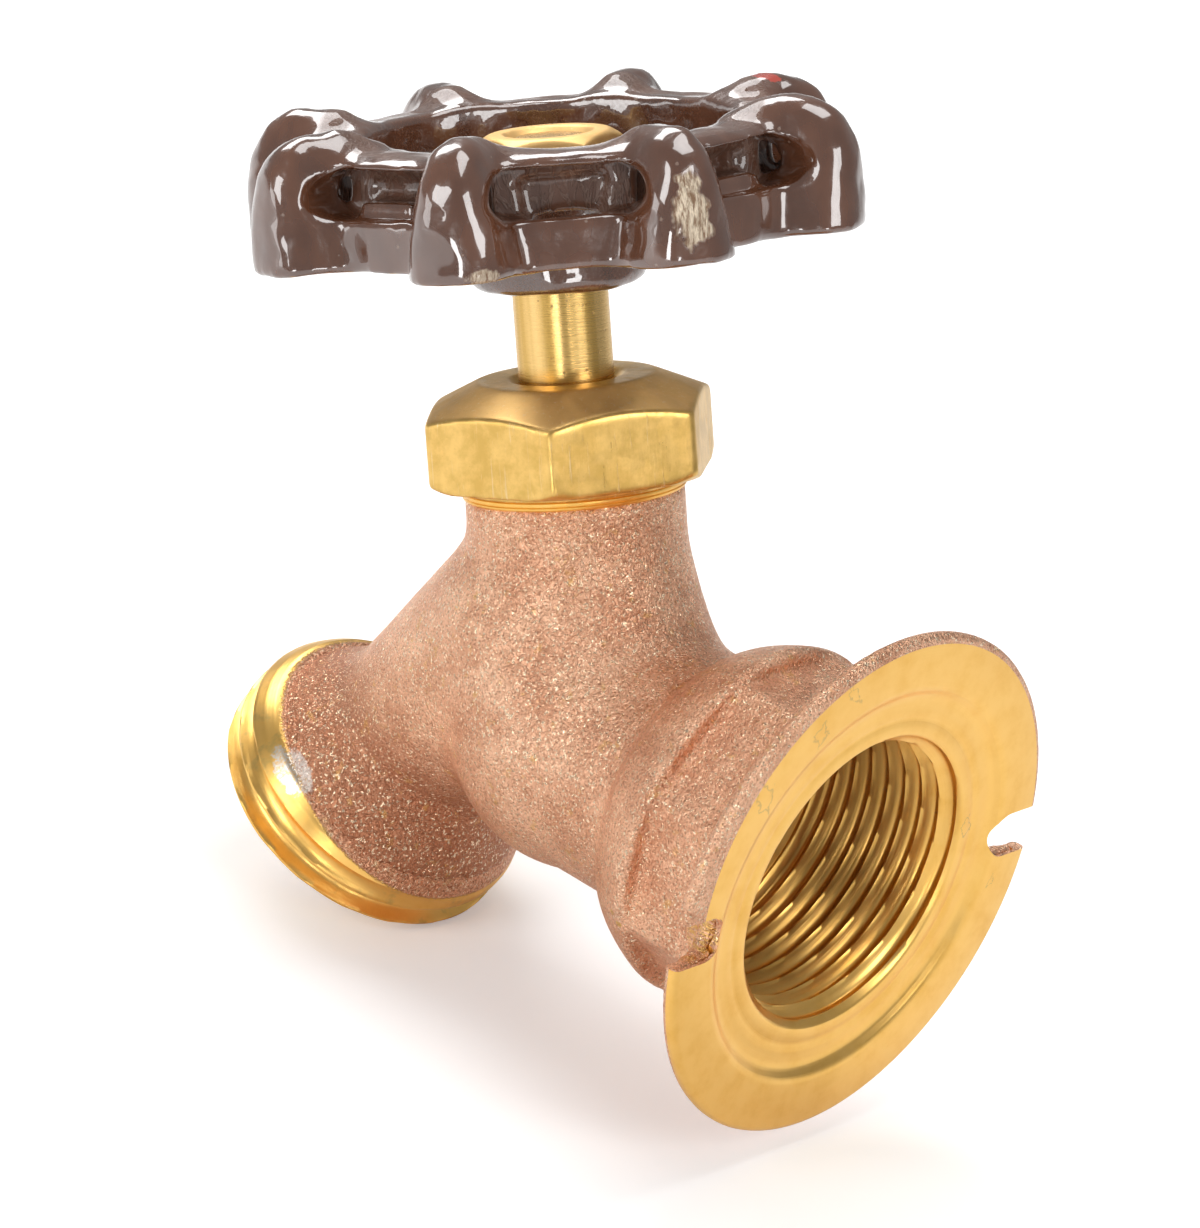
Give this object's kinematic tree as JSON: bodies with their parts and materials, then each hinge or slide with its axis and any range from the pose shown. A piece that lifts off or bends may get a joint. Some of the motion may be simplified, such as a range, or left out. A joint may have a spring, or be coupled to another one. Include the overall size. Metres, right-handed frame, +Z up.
{
  "type": "garden sillcock",
  "caption": "Outdoor garden tap with a notched wall flange, threaded inlet, down-turned hose outlet and a knuckled handwheel that lifts a washer off its seat.",
  "frame": {"origin": "centre of the inlet flange's front face, on the inlet thread's axis", "axes": "+Y out of the inlet, towards the wall; +Z up; +X along the line through the flange's two notches. The stem leans 20 degrees back from +Z towards -Y and the outlet leans 30 degrees from -Z towards -Y; both lie in the plane X = 0"},
  "size_m": [0.0504, 0.0698, 0.0803],
  "materials": {
    "cast_bronze": "sand cast, with machined threads and flange face",
    "turned_brass": "drawn flats and a turned cone",
    "washer_brass": "stamped",
    "packing_fibre": "matt graphite fibre",
    "stem_brass": "turned, satin",
    "seat_rubber": "moulded",
    "screw_brass": "turned",
    "wheel_enamel": "brown gloss enamel on cast iron",
    "nut_brass": "turned, bright edges"
  },
  "bodies": {
    "valve": {"valve_body": "cast_bronze", "packing_nut": "turned_brass", "packing_washer": "washer_brass", "packing": "packing_fibre"},
    "washer_carrier": {"seat_washer": "seat_rubber"},
    "spindle": {"stem": "stem_brass", "seat_screw": "screw_brass", "handwheel": "wheel_enamel", "handle_nut": "nut_brass"}
  },
  "joints": [
    {"name": "stem_rise", "type": "slide", "parent": "valve", "child": "washer_carrier", "axis": [0, -0.342, 0.9397], "range_m": [0, 0.00529]},
    {"name": "wheel_turn", "type": "hinge", "parent": "washer_carrier", "child": "spindle", "pos_m": [0, -0.03308, 0.00846], "axis": [0, -0.342, 0.9397], "range_deg": [0, 900]}
  ],
  "couplings": [
    {"joint": "wheel_turn", "follows": "stem_rise", "rad_per_m": 2968}
  ]
}
